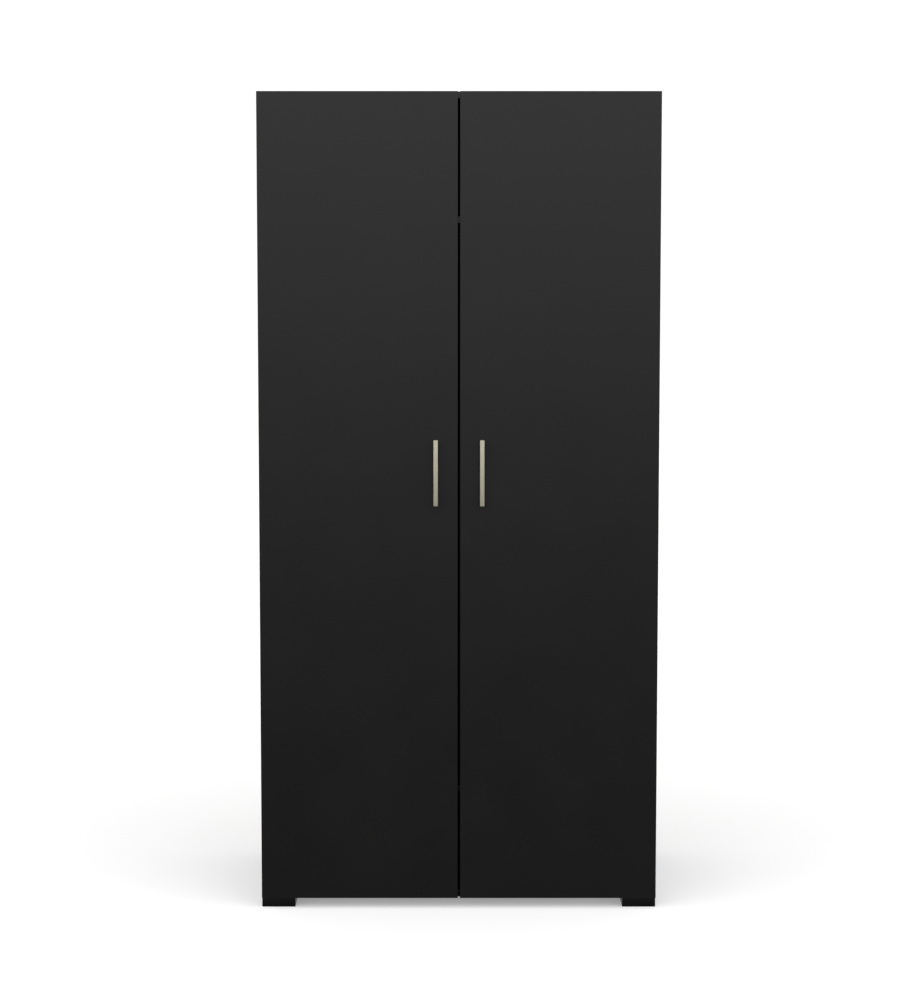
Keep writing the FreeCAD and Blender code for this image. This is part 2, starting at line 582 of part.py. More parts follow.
# the strip's front flange stops at the floor and ceiling boards, the rest runs on with
# the sheets so that no light comes in between them
strip_z0 = Z_FLOOR + SHOW
strip_z1 = Z_CEIL - SHOW
sheet_z0 = Z_BASE + BACK_EDGE
sheet_z1 = Z_TOP - BACK_EDGE
flange_x = STRIP_FLANGE_W / 2.0
web_x = half_gap - FIT
strip_front = Y_BACK - STRIP_FLANGE_T - FIT
strip_back = nail_y + STRIP_FLANGE_T
front_flange = box(-flange_x, strip_front, strip_z0, flange_x, Y_BACK - FIT, strip_z1)
inner_web = box(-web_x, strip_front, strip_z0, web_x, strip_back, strip_z1)
web = box(-web_x, Y_BACK + FIT, sheet_z0, web_x, strip_back, sheet_z1)
back_flange = box(-flange_x, nail_y + FIT, sheet_z0, flange_x, strip_back, sheet_z1)
nodes["back_joining_strip"] = [joined([front_flange, inner_web, web, back_flange])]

# ---- boards, with every hole their fittings need ------------------------------------
side_panel = box(-X_OUT, Y_FRONT, Z_FLOOR, -X_IN, Y_BACK, Z_CEIL)
side_panel = less(side_panel, side_cuts)
nodes["left_side_panel"] = [side_panel]
nodes["right_side_panel"] = [mirrored(side_panel)]
top_panel = box(-X_OUT, Y_FRONT, Z_CEIL, X_OUT, Y_BACK, Z_TOP)
nodes["top_panel"] = [less(top_panel, both_sides(top_cuts))]
bottom_panel = box(-X_OUT, Y_FRONT, Z_BASE, X_OUT, Y_BACK, Z_FLOOR)
nodes["bottom_panel"] = [less(bottom_panel, both_sides(bottom_cuts))]
shelf_back = Y_BACK - SHELF_BACK_CLEAR
for name, z, cuts in (("hat_shelf", HAT_SHELF_Z, hat_cuts), ("lower_shelf", LOWER_SHELF_Z, lower_cuts)):
    shelf = box(-X_IN, Y_FRONT, z, X_IN, shelf_back, z + BOARD_T)
    nodes[name] = [less(shelf, both_sides(cuts))]

# ---- one STEP file for each node ----------------------------------------------------
os.makedirs("parts", exist_ok=True)
for name in sorted(nodes):
    solids = []
    for shape in nodes[name]:
        solids += shape.Solids
    body = solids[0] if len(solids) == 1 else Part.makeCompound(solids)
    body.exportStep("parts/" + name + ".step")
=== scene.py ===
import bmesh
import bpy
import json
import math
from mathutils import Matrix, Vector


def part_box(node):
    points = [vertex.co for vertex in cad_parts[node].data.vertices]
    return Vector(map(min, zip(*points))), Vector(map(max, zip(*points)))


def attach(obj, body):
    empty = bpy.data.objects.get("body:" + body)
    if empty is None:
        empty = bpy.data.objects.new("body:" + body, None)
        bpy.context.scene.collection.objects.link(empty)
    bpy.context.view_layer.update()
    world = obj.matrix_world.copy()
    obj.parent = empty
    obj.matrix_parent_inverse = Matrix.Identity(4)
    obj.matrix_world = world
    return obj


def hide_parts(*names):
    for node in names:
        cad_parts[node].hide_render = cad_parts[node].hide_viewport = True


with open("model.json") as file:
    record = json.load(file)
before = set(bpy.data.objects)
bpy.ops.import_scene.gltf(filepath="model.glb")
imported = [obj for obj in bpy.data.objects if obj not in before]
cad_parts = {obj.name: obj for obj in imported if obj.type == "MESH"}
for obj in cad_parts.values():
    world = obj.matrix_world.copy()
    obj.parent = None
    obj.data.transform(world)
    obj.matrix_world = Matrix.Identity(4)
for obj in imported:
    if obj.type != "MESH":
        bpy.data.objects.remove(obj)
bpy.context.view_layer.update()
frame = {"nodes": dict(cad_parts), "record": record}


# ---- studio ---------------------------------------------------------------------------
# A seamless white floor in a white surround, with no lamps: all the light comes from the
# surround, brightest above the horizon in front of the doors and weaker behind. The camera
# stands in front of the doors at chest height and looks a little downward.
CAMERA_PLACE = (-0.0200, -4.8357, 1.3011)
CAMERA_DIP = 4.55
CAMERA_LENS = 73.8
FLOOR_SIZE = 60.0
PAPER_WHITE = 0.82
PAPER_GLOW = 0.27
SURROUND_GLOW = 1.05
BRIGHTEST = 4.0


def nothing_selected():
    bpy.ops.object.select_all(action="DESELECT")


def nodes_of(block):
    block.use_nodes = True
    tree = block.node_tree
    tree.nodes.clear()
    return tree


def add_node(tree, kind, **settings):
    node = tree.nodes.new(kind)
    for key, value in settings.items():
        setattr(node, key, value)
    return node


nothing_selected()
bpy.ops.object.camera_add(location=CAMERA_PLACE, rotation=(math.radians(90 - CAMERA_DIP), 0, 0))
camera = bpy.context.object
camera.data.lens = CAMERA_LENS
bpy.context.scene.camera = camera
bpy.context.scene.view_settings.view_transform = "Standard"

nothing_selected()
bpy.ops.mesh.primitive_plane_add(size=FLOOR_SIZE, location=(0, 0, 0))
floor = bpy.context.object
floor.name = "studio_floor"
floor.visible_glossy = False
floor.visible_diffuse = False
paper = bpy.data.materials.new("seamless_paper")
tree = nodes_of(paper)
out = add_node(tree, "ShaderNodeOutputMaterial")
matt = add_node(tree, "ShaderNodeBsdfDiffuse")
matt.inputs["Color"].default_value = (PAPER_WHITE, PAPER_WHITE, PAPER_WHITE, 1)
glow = add_node(tree, "ShaderNodeEmission")
glow.inputs["Strength"].default_value = PAPER_GLOW
both = add_node(tree, "ShaderNodeAddShader")
tree.links.new(matt.outputs[0], both.inputs[0])
tree.links.new(glow.outputs[0], both.inputs[1])
tree.links.new(both.outputs[0], out.inputs["Surface"])
floor.data.materials.append(paper)

world = bpy.data.worlds.new("studio")
bpy.context.scene.world = world
tree = nodes_of(world)
out = add_node(tree, "ShaderNodeOutputWorld")
way = add_node(tree, "ShaderNodeTexCoord")
split = add_node(tree, "ShaderNodeSeparateXYZ")
tree.links.new(way.outputs["Generated"], split.inputs[0])


def light_by_height(tree, height, stops):
    # stops are (sine of the angle above the horizon, brightness)
    shift = add_node(tree, "ShaderNodeMapRange")
    shift.inputs["From Min"].default_value = -1.0
    ramp = add_node(tree, "ShaderNodeValToRGB")
    ramp.color_ramp.interpolation = "EASE"
    points = ramp.color_ramp.elements
    while len(points) < len(stops):
        points.new(0.5)
    for point, (sine, level) in zip(points, stops):
        point.position = (sine + 1) / 2
        point.color = (level / BRIGHTEST, level / BRIGHTEST, level / BRIGHTEST, 1)
    scene_light = add_node(tree, "ShaderNodeBackground")
    scene_light.inputs["Strength"].default_value = BRIGHTEST
    tree.links.new(height, shift.inputs["Value"])
    tree.links.new(shift.outputs["Result"], ramp.inputs["Fac"])
    tree.links.new(ramp.outputs["Color"], scene_light.inputs["Color"])
    return scene_light.outputs[0]


front_room = light_by_height(tree, split.outputs["Z"], (
    (-0.5, 0.06), (-0.24, 0.11), (-0.13, 0.15), (0.01, 1.26), (0.14, 2.42),
    (0.34, 3.0), (0.5, 2.5), (0.71, 1.4), (1.0, 0.8)))
rear_room = light_by_height(tree, split.outputs["Z"], (
    (-0.3, 0.5), (0.0, 1.4), (0.3, 1.0), (0.6, 0.5), (1.0, 0.3)))
toward_front = add_node(tree, "ShaderNodeMapRange", interpolation_type="SMOOTHSTEP")
toward_front.inputs["From Min"].default_value = 0.25
toward_front.inputs["From Max"].default_value = -0.45
tree.links.new(split.outputs["Y"], toward_front.inputs["Value"])
room = add_node(tree, "ShaderNodeMixShader")
tree.links.new(toward_front.outputs["Result"], room.inputs["Fac"])
tree.links.new(rear_room, room.inputs[1])
tree.links.new(front_room, room.inputs[2])
white = add_node(tree, "ShaderNodeBackground")
white.inputs["Color"].default_value = (1, 1, 1, 1)
white.inputs["Strength"].default_value = SURROUND_GLOW
seen = add_node(tree, "ShaderNodeLightPath")
pick = add_node(tree, "ShaderNodeMixShader")
tree.links.new(seen.outputs["Is Camera Ray"], pick.inputs["Fac"])
tree.links.new(room.outputs[0], pick.inputs[1])
tree.links.new(white.outputs[0], pick.inputs[2])
tree.links.new(pick.outputs[0], out.inputs["Surface"])


# ---- black melamine boards ------------------------------------------------------------
# The carcass boards are 15 mm chipboard faced with satin black melamine. Their edges
# carry a 1 mm black plastic band, glued on and rounded over, with a hairline seam.
BAND = 0.0010
SEAM = 0.00012
SEAM_DEPTH = 0.00008
ARRIS = 0.0006
CAM_POCKET_R = 0.0075
CAM_POCKET_DEPTH = 0.0121
CAM_IN = 0.024
CAM_FROM_EDGE = 0.050
SHELF_SHORT = 0.002
BOARD_SPECULAR = 0.2
DRILL_LEAD = 0.001
NEAR = 1e-6
SQUARE_ON = 0.9
SEAM_LEAN = 0.5
# each side's sign is the way from it to the middle, along X
SIDES = ((1, "left"), (-1, "right"))


def surface(name):
    material = bpy.data.materials.new(name)
    tree = nodes_of(material)
    out = add_node(tree, "ShaderNodeOutputMaterial")
    bsdf = add_node(tree, "ShaderNodeBsdfPrincipled")
    tree.links.new(bsdf.outputs[0], out.inputs["Surface"])
    return material, tree, bsdf


def object_space(tree, scale=(1, 1, 1)):
    coords = add_node(tree, "ShaderNodeTexCoord")
    mapping = add_node(tree, "ShaderNodeMapping")
    mapping.inputs["Scale"].default_value = scale
    tree.links.new(coords.outputs["Object"], mapping.inputs["Vector"])
    return mapping.outputs["Vector"]


def noise(tree, vector, scale, detail=2.0, rough=0.5):
    node = add_node(tree, "ShaderNodeTexNoise")
    node.inputs["Scale"].default_value = scale
    node.inputs["Detail"].default_value = detail
    node.inputs["Roughness"].default_value = rough
    tree.links.new(vector, node.inputs["Vector"])
    return node.outputs["Fac"]


def spread(tree, value, low, high, from_low=0.3, from_high=0.7):
    node = add_node(tree, "ShaderNodeMapRange")
    node.inputs["From Min"].default_value = from_low
    node.inputs["From Max"].default_value = from_high
    node.inputs["To Min"].default_value = low
    node.inputs["To Max"].default_value = high
    tree.links.new(value, node.inputs["Value"])
    return node.outputs["Result"]


def math_node(tree, kind, first, second):
    node = add_node(tree, "ShaderNodeMath", operation=kind)
    for socket, value in zip(node.inputs, (first, second)):
        if isinstance(value, float):
            socket.default_value = value
        else:
            tree.links.new(value, socket)
    return node.outputs[0]


def tint(tree, factor, dark, light):
    node = add_node(tree, "ShaderNodeMix", data_type="RGBA")
    node.inputs["A"].default_value = (*dark, 1)
    node.inputs["B"].default_value = (*light, 1)
    tree.links.new(factor, node.inputs["Factor"])
    return node.outputs["Result"]


def bump(tree, height, distance, under=None):
    node = add_node(tree, "ShaderNodeBump")
    node.inputs["Distance"].default_value = distance
    tree.links.new(height, node.inputs["Height"])
    if under is not None:
        tree.links.new(under, node.inputs["Normal"])
    return node.outputs["Normal"]


def melamine():
    material, tree, bsdf = surface("black_melamine")
    place = object_space(tree)
    clouds = noise(tree, place, 7.0, 4.0, 0.6)
    peel = noise(tree, place, 900.0, 2.0)
    grit = noise(tree, place, 3200.0, 1.0)
    wiped = noise(tree, object_space(tree, (26, 26, 1.6)), 3.0, 3.0)
    cloudy = spread(tree, clouds, 0, 1)
    shade = tint(tree, cloudy, (0.0056, 0.0056, 0.0057), (0.0068, 0.0067, 0.0067))
    dust = add_node(tree, "ShaderNodeTexVoronoi")
    dust.inputs["Scale"].default_value = 95.0
    tree.links.new(place, dust.inputs["Vector"])
    speck = spread(tree, dust.outputs["Distance"], 1.0, 0.0, 0.015, 0.035)
    mixed = add_node(tree, "ShaderNodeMix", data_type="RGBA")
    mixed.inputs["B"].default_value = (0.03, 0.03, 0.029, 1)
    tree.links.new(math_node(tree, "MULTIPLY", speck, 0.35), mixed.inputs["Factor"])
    tree.links.new(shade, mixed.inputs["A"])
    tree.links.new(mixed.outputs["Result"], bsdf.inputs["Base Color"])
    satin = spread(tree, clouds, 0.275, 0.292)
    gloss = math_node(tree, "ADD", satin, spread(tree, wiped, -0.003, 0.003))
    tree.links.new(gloss, bsdf.inputs["Roughness"])
    bsdf.inputs["Specular IOR Level"].default_value = BOARD_SPECULAR
    fine = bump(tree, grit, 0.000004)
    tree.links.new(bump(tree, peel, 0.000014, fine), bsdf.inputs["Normal"])
    return material


def edge_band():
    material, tree, bsdf = surface("black_edge_band")
    place = object_space(tree)
    worn = noise(tree, place, 60.0, 4.0, 0.7)
    chalk = spread(tree, worn, 0.0, 1.0, 0.6, 0.78)
    shade = tint(tree, chalk, (0.0045, 0.0045, 0.0045), (0.010, 0.010, 0.010))
    tree.links.new(shade, bsdf.inputs["Base Color"])
    tree.links.new(spread(tree, worn, 0.15, 0.21), bsdf.inputs["Roughness"])
    bsdf.inputs["Specular IOR Level"].default_value = BOARD_SPECULAR
    tree.links.new(bump(tree, noise(tree, place, 700.0), 0.000012), bsdf.inputs["Normal"])
    return material


def chipboard():
    material, tree, bsdf = surface("raw_chipboard")
    place = object_space(tree)
    flakes = add_node(tree, "ShaderNodeTexVoronoi")
    flakes.inputs["Scale"].default_value = 700.0
    tree.links.new(place, flakes.inputs["Vector"])
    shade = tint(tree, flakes.outputs["Distance"], (0.16, 0.10, 0.055), (0.42, 0.30, 0.18))
    tree.links.new(shade, bsdf.inputs["Base Color"])
    bsdf.inputs["Roughness"].default_value = 0.9
    tree.links.new(bump(tree, flakes.outputs["Distance"], 0.0004), bsdf.inputs["Normal"])
    return material


MELAMINE = melamine()
EDGE_BAND = edge_band()
CHIPBOARD = chipboard()


def apply_modifier(obj, kind, **settings):
    nothing_selected()
    obj.select_set(True)
    bpy.context.view_layer.objects.active = obj
    modifier = obj.modifiers.new(kind.lower(), kind)
    for key, value in settings.items():
        setattr(modifier, key, value)
    bpy.ops.object.modifier_apply(modifier=modifier.name)


def block(name, low, high):
    nothing_selected()
    bpy.ops.mesh.primitive_cube_add(size=1.0, location=(low + high) / 2)
    piece = bpy.context.object
    piece.name = name
    piece.scale = high - low
    bpy.ops.object.transform_apply(location=True, rotation=True, scale=True)
    return piece


def pick_faces_square_to(piece, axis):
    bpy.ops.mesh.select_mode(type="FACE")
    mesh = bmesh.from_edit_mesh(piece.data)
    for face in mesh.faces:
        face.select_set(False)
    for face in mesh.faces:
        if abs(face.normal[axis]) > SQUARE_ON:
            face.select_set(True)
    bmesh.update_edit_mesh(piece.data)


def pick_edges(piece, test):
    bpy.ops.mesh.select_mode(type="EDGE")
    mesh = bmesh.from_edit_mesh(piece.data)
    for edge in mesh.edges:
        edge.select_set(False)
    for edge in mesh.edges:
        if test(edge.verts[0].co, edge.verts[1].co):
            edge.select_set(True)
    bmesh.update_edit_mesh(piece.data)


def runs_along(axis):
    # true for an edge that goes from one end of a plain block to the other along the axis
    return lambda one, other: abs(one[axis] - other[axis]) > NEAR


def cut_away(piece, cutters):
    # the cutters are joined into one and taken out of the piece
    nothing_selected()
    for cutter in cutters:
        cutter.select_set(True)
    bpy.context.view_layer.objects.active = cutters[0]
    if len(cutters) > 1:
        bpy.ops.object.join()
    tool = bpy.context.view_layer.objects.active
    apply_modifier(piece, "BOOLEAN", operation="DIFFERENCE", object=tool, solver="EXACT")
    bpy.data.objects.remove(tool)


def peg(start, end, radius, sides=40, end_radius=None):
    # a round bar from one point to the other, tapered when the end has its own radius
    way = Vector(end) - Vector(start)
    nothing_selected()
    bpy.ops.mesh.primitive_cone_add(
        vertices=sides, radius1=radius, radius2=radius if end_radius is None else end_radius,
        depth=way.length, location=(Vector(start) + Vector(end)) / 2,
        rotation=way.to_track_quat("Z", "Y").to_euler())
    bpy.ops.object.transform_apply(location=True, rotation=True, scale=True)
    return bpy.context.object


def drill(place, direction, radius, depth, sides=40):
    # a round cutter that starts just outside the surface and runs along the direction
    way = Vector(direction)
    cutter = peg(Vector(place) - way * DRILL_LEAD, Vector(place) + way * depth, radius, sides)
    cutter.data.materials.append(CHIPBOARD)
    return cutter


def fused(name, pieces):
    # the pieces become one closed skin under the first one's finish
    whole = pieces[0]
    whole.name = name
    for piece in pieces[1:]:
        apply_modifier(whole, "BOOLEAN", operation="UNION", object=piece, solver="EXACT")
        bpy.data.objects.remove(piece)
    return whole


def dressed(piece, material, body, node, smooth_angle=40):
    # one material all over and soft shading across the small roundings; then the piece is
    # tied to its body, and the drawn node that it stands in for is hidden
    piece.data.materials.clear()
    piece.data.materials.append(material)
    for face in piece.data.polygons:
        face.material_index = 0
    nothing_selected()
    piece.select_set(True)
    bpy.context.view_layer.objects.active = piece
    bpy.ops.object.shade_smooth_by_angle(angle=math.radians(smooth_angle))
    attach(piece, body)
    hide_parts(node)


def banded_board(name, node, body, axis, cutters=()):
    # a board whose two flat sides face along the axis, banded round all its other sides
    low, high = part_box(node)
    board = block(name, low, high)
    board.data.materials.append(MELAMINE)
    board.data.materials.append(EDGE_BAND)
    board.data.materials.append(CHIPBOARD)
    bpy.ops.object.mode_set(mode="EDIT")
    pick_faces_square_to(board, axis)
    bpy.ops.mesh.inset(thickness=BAND, depth=0, use_individual=True)
    bpy.ops.mesh.inset(thickness=SEAM, depth=-SEAM_DEPTH, use_individual=True)
    bpy.ops.mesh.inset(thickness=SEAM, depth=SEAM_DEPTH, use_individual=True)

    def outline(first, second):
        # true for the twelve outer edges, which each lie in two of the board's six planes
        planes = 0
        for way in range(3):
            for limit in (low[way], high[way]):
                if abs(first[way] - limit) < NEAR and abs(second[way] - limit) < NEAR:
                    planes += 1
        return planes >= 2

    pick_edges(board, outline)
    bpy.ops.mesh.bevel(offset=ARRIS, offset_type="OFFSET", segments=3, profile=0.5, affect="EDGES")
    bpy.ops.object.mode_set(mode="OBJECT")
    for face in board.data.polygons:
        centre = face.center
        inside = all(low[k] + BAND < centre[k] < high[k] - BAND for k in range(3) if k != axis)
        face.material_index = 0 if inside and abs(face.normal[axis]) > SEAM_LEAN else 1
    if cutters:
        cut_away(board, cutters)
    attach(board, body)
    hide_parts(node)


for side, name in SIDES:
    low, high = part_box(name + "_side_panel")
    inner_x = high.x if side > 0 else low.x
    pockets = []
    for z in (low.z + CAM_IN, high.z - CAM_IN):
        for y in (low.y + CAM_FROM_EDGE, high.y - CAM_FROM_EDGE):
            pockets.append(drill((inner_x, y, z), (-side, 0, 0), CAM_POCKET_R, CAM_POCKET_DEPTH))
    banded_board(name + "_side_board", name + "_side_panel", "carcass", 0, pockets)
for node in ("hat_shelf", "lower_shelf"):
    low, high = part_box(node)
    pockets = []
    for x in (low.x + CAM_IN, high.x - CAM_IN):
        for y in (low.y + CAM_FROM_EDGE, high.y + SHELF_SHORT - CAM_FROM_EDGE):
            pockets.append(drill((x, y, low.z), (0, 0, 1), CAM_POCKET_R, CAM_POCKET_DEPTH))
    banded_board(node + "_board", node, "carcass", 2, pockets)
banded_board("top_board", "top_panel", "carcass", 2)
banded_board("bottom_board", "bottom_panel", "carcass", 2)

# ---- doors ----------------------------------------------------------------------------
# Two plain slab doors of the same board, banded on all four edges. Each has four round
# 35 mm bores in its back for the hinge cups and two drilled holes for the handle screws.
CUP_BORE_R = 0.01755
CUP_BORE_DEPTH = 0.01205
CUP_AXIS_IN = 0.0195
CUP_SCREW_R = 0.0018
CUP_SCREW_IN = 0.006
CUP_SCREW_UP = 0.024
CUP_SCREW_DEPTH = 0.0112
HANDLE_HOLE_R = 0.0021
HANDLE_POST_IN = 0.010
HINGE_NUMBERS = ("1", "2", "3", "4")

for side, name in SIDES:
    low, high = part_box(name + "_door")
    outer_x = low.x if side > 0 else high.x
    cup_x = outer_x + side * CUP_AXIS_IN
    cutters = []
    for number in HINGE_NUMBERS:
        cup_low, cup_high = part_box("hinge_cup_" + name + "_" + number)
        z = (cup_low.z + cup_high.z) / 2
        cutters.append(drill((cup_x, high.y, z), (0, -1, 0), CUP_BORE_R, CUP_BORE_DEPTH, sides=72))
        for up in (-CUP_SCREW_UP, CUP_SCREW_UP):
            hole = (cup_x + side * CUP_SCREW_IN, high.y, z + up)
            cutters.append(drill(hole, (0, -1, 0), CUP_SCREW_R, CUP_SCREW_DEPTH, sides=16))
    bar_low, bar_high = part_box(name + "_handle")
    bar_x = (bar_low.x + bar_high.x) / 2
    through = high.y - low.y + DRILL_LEAD
    for z in (bar_low.z + HANDLE_POST_IN, bar_high.z - HANDLE_POST_IN):
        cutters.append(drill((bar_x, high.y, z), (0, -1, 0), HANDLE_HOLE_R, through, sides=20))
    banded_board(name + "_door_slab", name + "_door", name + "_door", 1, cutters)

# ---- handles --------------------------------------------------------------------------
# Slim straight bars of die-cast zinc, plated in satin nickel with a slight warm cast and
# brushed along their length. Each stands on two round posts, screwed on from behind.
BAR_THICK = 0.008
BAR_ROUND = 0.0011
POST_R = 0.0044
POST_SUNK = 0.0032
POST_FOOT_ROUND = 0.0004


def brushed_nickel():
    material, tree, bsdf = surface("satin_nickel")
    lines = noise(tree, object_space(tree, (5200, 5200, 90)), 1.0, 3.0, 0.65)
    clouds = noise(tree, object_space(tree), 40.0, 3.0)
    shade = tint(tree, spread(tree, clouds, 0, 1), (0.385, 0.366, 0.289), (0.415, 0.394, 0.311))
    tree.links.new(shade, bsdf.inputs["Base Color"])
    streaks = spread(tree, lines, 0.56, 0.66)
    gloss = math_node(tree, "ADD", streaks, spread(tree, clouds, -0.02, 0.02))
    tree.links.new(gloss, bsdf.inputs["Roughness"])
    bsdf.inputs["Metallic"].default_value = 1.0
    tree.links.new(bump(tree, lines, 0.000006), bsdf.inputs["Normal"])
    return material


SATIN_NICKEL = brushed_nickel()

for _, name in SIDES:
    low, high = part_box(name + "_handle")
    bar_back_y = low.y + BAR_THICK
    bar = block(name + "_handle_bar", low, Vector((high.x, bar_back_y, high.z)))
    apply_modifier(bar, "BEVEL", width=BAR_ROUND, segments=4, limit_method="ANGLE")
    mid_x = (low.x + high.x) / 2
    parts = [bar]
    for z in (low.z + HANDLE_POST_IN, high.z - HANDLE_POST_IN):
        post = peg((mid_x, bar_back_y - POST_SUNK, z), (mid_x, high.y, z), POST_R, sides=48)
        apply_modifier(post, "BEVEL", width=POST_FOOT_ROUND, segments=2, limit_method="ANGLE")
        parts.append(post)
    bar = fused(name + "_handle_bar", parts)
    dressed(bar, SATIN_NICKEL, name + "_door", name + "_handle")

# ---- feet -----------------------------------------------------------------------------
# Four square blocks of black plastic under the carcass corners. They are moulded with
# softly rounded edges, and two screws go up through sunk holes in each.
FOOT_ROUND = 0.0015
FOOT_SCREW_OFF = 0.022
FOOT_BORE_R = 0.005
FOOT_BORE_DEPTH = 0.0145


def moulded_plastic(name, dark, light, rough_low, rough_high, grain, specular):
    material, tree, bsdf = surface(name)
    place = object_space(tree)
    clouds = noise(tree, place, 30.0, 3.0)
    pits = noise(tree, place, grain, 2.0, 0.6)
    tree.links.new(tint(tree, spread(tree, clouds, 0, 1), dark, light), bsdf.inputs["Base Color"])
    tree.links.new(spread(tree, pits, rough_low, rough_high), bsdf.inputs["Roughness"])
    bsdf.inputs["Specular IOR Level"].default_value = specular
    tree.links.new(bump(tree, pits, 0.00003), bsdf.inputs["Normal"])
    return material


FOOT_PLASTIC = moulded_plastic("foot_plastic", (0.0022, 0.0022, 0.0023), (0.0032, 0.0032, 0.0032),
                               0.34, 0.42, 1500.0, 0.15)

for name in ("front_left", "front_right", "rear_left", "rear_right"):
    low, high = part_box("foot_" + name)
    foot = block("block_foot_" + name, low, high)
    apply_modifier(foot, "BEVEL", width=FOOT_ROUND, segments=4, limit_method="ANGLE")
    turn = 1 if name.endswith("left") else -1
    middle = (low + high) / 2
    bores = []
    for step in (-1, 1):
        place = (middle.x + turn * step * FOOT_SCREW_OFF, middle.y + step * FOOT_SCREW_OFF, low.z)
        bores.append(drill(place, (0, 0, 1), FOOT_BORE_R, FOOT_BORE_DEPTH, sides=32))
    cut_away(foot, bores)
    dressed(foot, FOOT_PLASTIC, "carcass", "foot_" + name)

# ---- back sheets ----------------------------------------------------------------------
# The back is two 3 mm hardboard sheets, lacquered black on the side that faces inside.
# Outside is the bare brown board with its faint mesh print, nailed along every edge.
SHEET_ARRIS = 0.0003
WALL_HOLE_R = 0.003
WALL_HOLE_X = 0.300
WALL_HOLE_DOWN = 0.038
WALL_HOLE_DEPTH = 0.004


def hardboard():
    material, tree, bsdf = surface("brown_hardboard")
    place = object_space(tree)
    fibre = noise(tree, object_space(tree, (1, 1, 0.35)), 420.0, 5.0, 0.75)
    clouds = noise(tree, place, 9.0, 4.0, 0.6)
    fine = math_node(tree, "MULTIPLY", fibre, 0.65)
    coarse = math_node(tree, "MULTIPLY", clouds, 0.35)
    mixed = math_node(tree, "ADD", fine, coarse)
    shade = tint(tree, spread(tree, mixed, 0, 1), (0.155, 0.088, 0.045), (0.285, 0.180, 0.102))
    tree.links.new(shade, bsdf.inputs["Base Color"])
    tree.links.new(spread(tree, fibre, 0.62, 0.8), bsdf.inputs["Roughness"])
    mesh_print = add_node(tree, "ShaderNodeTexVoronoi")
    mesh_print.inputs["Scale"].default_value = 620.0
    mesh_print.inputs["Randomness"].default_value = 0.15
    tree.links.new(place, mesh_print.inputs["Vector"])
    rough = bump(tree, fibre, 0.00008)
    tree.links.new(bump(tree, mesh_print.outputs["Distance"], 0.00012, rough), bsdf.inputs["Normal"])
    return material


def black_lacquer():
    material, tree, bsdf = surface("lacquered_hardboard")
    place = object_space(tree)
    clouds = noise(tree, place, 12.0, 4.0)
    peel = noise(tree, place, 480.0, 3.0)
    cloudy = spread(tree, clouds, 0, 1)
    shade = tint(tree, cloudy, (0.0075, 0.0073, 0.0071), (0.0105, 0.0102, 0.0098))
    tree.links.new(shade, bsdf.inputs["Base Color"])
    tree.links.new(spread(tree, peel, 0.46, 0.58), bsdf.inputs["Roughness"])
    tree.links.new(bump(tree, peel, 0.00003), bsdf.inputs["Normal"])
    return material


HARDBOARD = hardboard()
LACQUER = black_lacquer()

for side, name in SIDES:
    low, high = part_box("back_panel_" + name)
    sheet = block("back_sheet_" + name, low, high)
    apply_modifier(sheet, "BEVEL", width=SHEET_ARRIS, segments=2, limit_method="ANGLE")
    sheet.data.materials.append(HARDBOARD)
    sheet.data.materials.append(LACQUER)
    for face in sheet.data.polygons:
        face.material_index = 1 if face.normal.y < -SQUARE_ON else 0
    place = (-side * WALL_HOLE_X, low.y, high.z - WALL_HOLE_DOWN)
    hole = drill(place, (0, 1, 0), WALL_HOLE_R, WALL_HOLE_DEPTH, sides=32)
    hole.data.materials[0] = HARDBOARD
    cut_away(sheet, [hole])
    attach(sheet, "carcass")
    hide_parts("back_panel_" + name)

# ---- hanging rail ---------------------------------------------------------------------
# An oval tube of black powder-coated steel, 30 by 15 mm with a 1 mm wall, cut square at
# both ends. It sits in two sockets of cast zinc, screwed to the side panels.
RAIL_WALL = 0.001
OVAL_FLAT = 0.00002
SOCKET_PLATE = 0.003
SOCKET_WALL = 0.002
SOCKET_PLAY = 0.0002
SOCKET_ROUND = 0.0006
SOCKET_SCREW_IN = 0.005
SOCKET_HEAD_R = 0.0035
SOCKET_HOLE_DEPTH = 0.006
SMALL_SCREW_R = 0.00175
PLATED_EDGE = 0.0003


def powder_coat():
    material, tree, bsdf = surface("black_powder_coat")
    place = object_space(tree)
    clouds = noise(tree, place, 45.0, 3.0)
    peel = noise(tree, place, 1300.0, 2.0)
    shade = tint(tree, spread(tree, clouds, 0, 1), (0.006, 0.006, 0.006), (0.009, 0.009, 0.009))
    tree.links.new(shade, bsdf.inputs["Base Color"])
    tree.links.new(spread(tree, peel, 0.42, 0.54), bsdf.inputs["Roughness"])
    bsdf.inputs["Specular IOR Level"].default_value = 0.3
    tree.links.new(bump(tree, peel, 0.00003), bsdf.inputs["Normal"])
    return material


def plated(name, dark, light, rough_low, rough_high):
    material, tree, bsdf = surface(name)
    place = object_space(tree)
    clouds = noise(tree, place, 160.0, 3.0)
    grain = noise(tree, place, 2600.0, 2.0)
    tree.links.new(tint(tree, spread(tree, clouds, 0, 1), dark, light), bsdf.inputs["Base Color"])
    tree.links.new(spread(tree, clouds, rough_low, rough_high), bsdf.inputs["Roughness"])
    bsdf.inputs["Metallic"].default_value = 1.0
    soft_edge = add_node(tree, "ShaderNodeBevel", samples=6)
    soft_edge.inputs["Radius"].default_value = PLATED_EDGE
    tree.links.new(bump(tree, grain, 0.000008, soft_edge.outputs[0]), bsdf.inputs["Normal"])
    return material


def slab(name, first, second):
    # a block between any two opposite corners
    low = Vector([min(pair) for pair in zip(first, second)])
    high = Vector([max(pair) for pair in zip(first, second)])
    return block(name, low, high)


